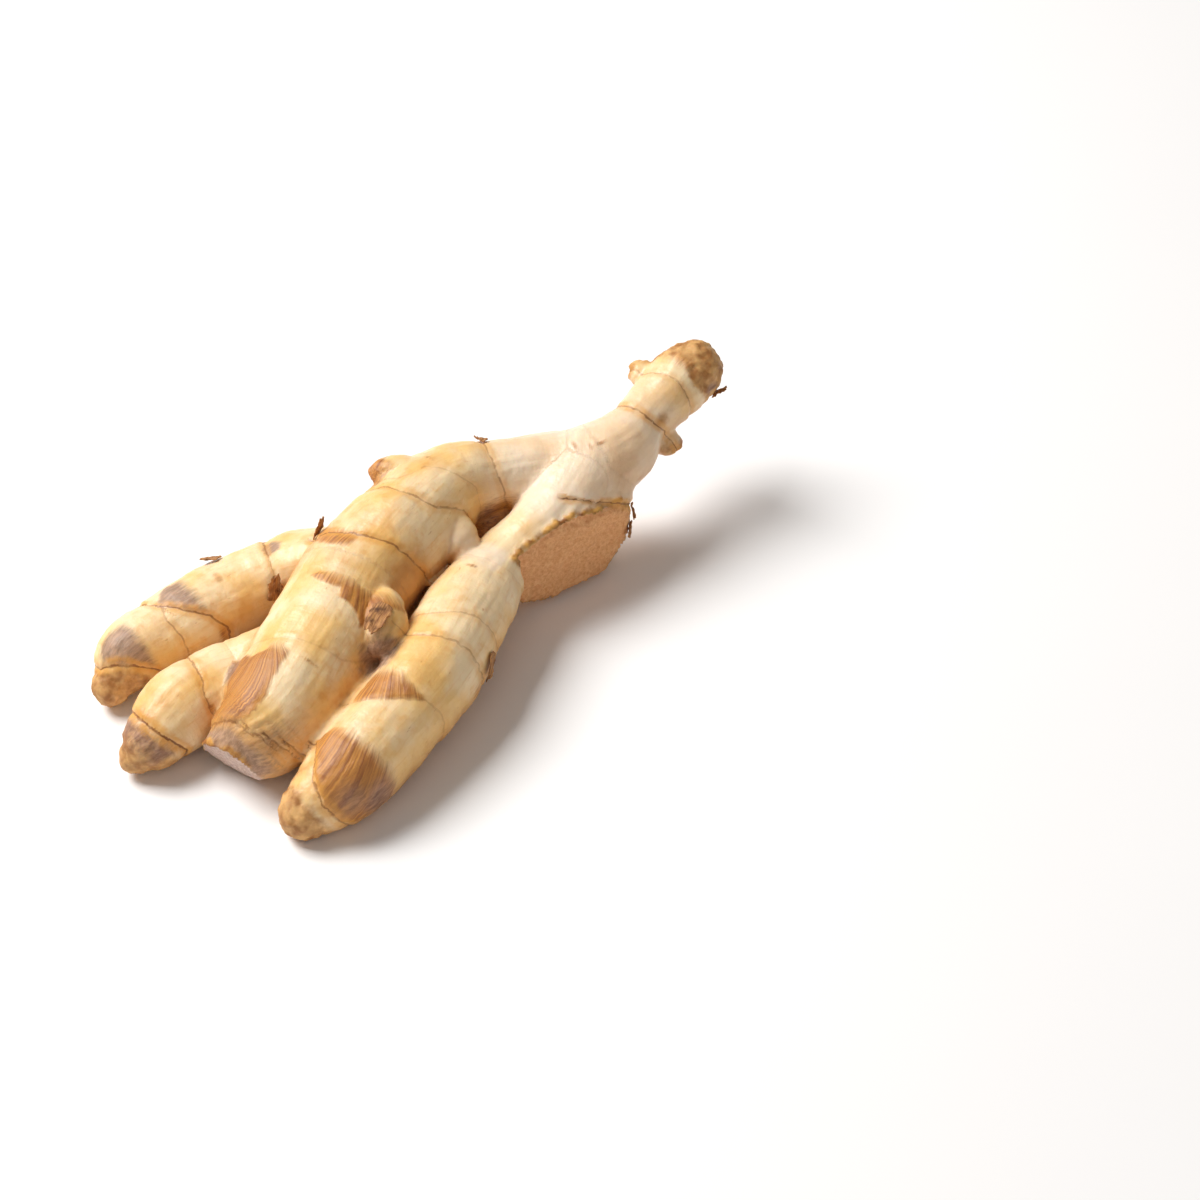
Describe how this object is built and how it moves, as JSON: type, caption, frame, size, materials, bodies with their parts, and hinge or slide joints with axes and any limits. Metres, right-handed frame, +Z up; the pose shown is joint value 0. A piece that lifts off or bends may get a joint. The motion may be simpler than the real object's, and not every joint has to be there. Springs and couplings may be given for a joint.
{
  "type": "ginger root",
  "caption": "Fresh ginger hand: a forked, knobbly rhizome with thick fingers, buds, cut ends and papery scale remnants, lying on a flat surface.",
  "frame": {"origin": "on the surface it lies on, under the middle of its outer box", "axes": "+X along the hand's longest side, from the fingertips to the stub at the rear; +Y from the front finger's tip to the rear; +Z up from the surface"},
  "size_m": [0.1646, 0.1458, 0.0458],
  "materials": {
    "skin": "thin satin ginger skin, pale cream to tan, with brown rings and striped scale scars",
    "dry_scale": "dry papery brown scale leaf, matte and fibrous"
  },
  "bodies": {
    "root": {"rhizome": "skin", "scale_knuckle_tuft": "dry_scale", "scale_rear_finger": "dry_scale", "scale_crotch": "dry_scale", "scale_knuckle_curl": "dry_scale", "scale_arm_top": "dry_scale", "scale_stub_end": "dry_scale", "scale_fork_flap": "dry_scale", "scale_cut_edge": "dry_scale", "scale_front_finger": "dry_scale"}
  },
  "joints": []
}
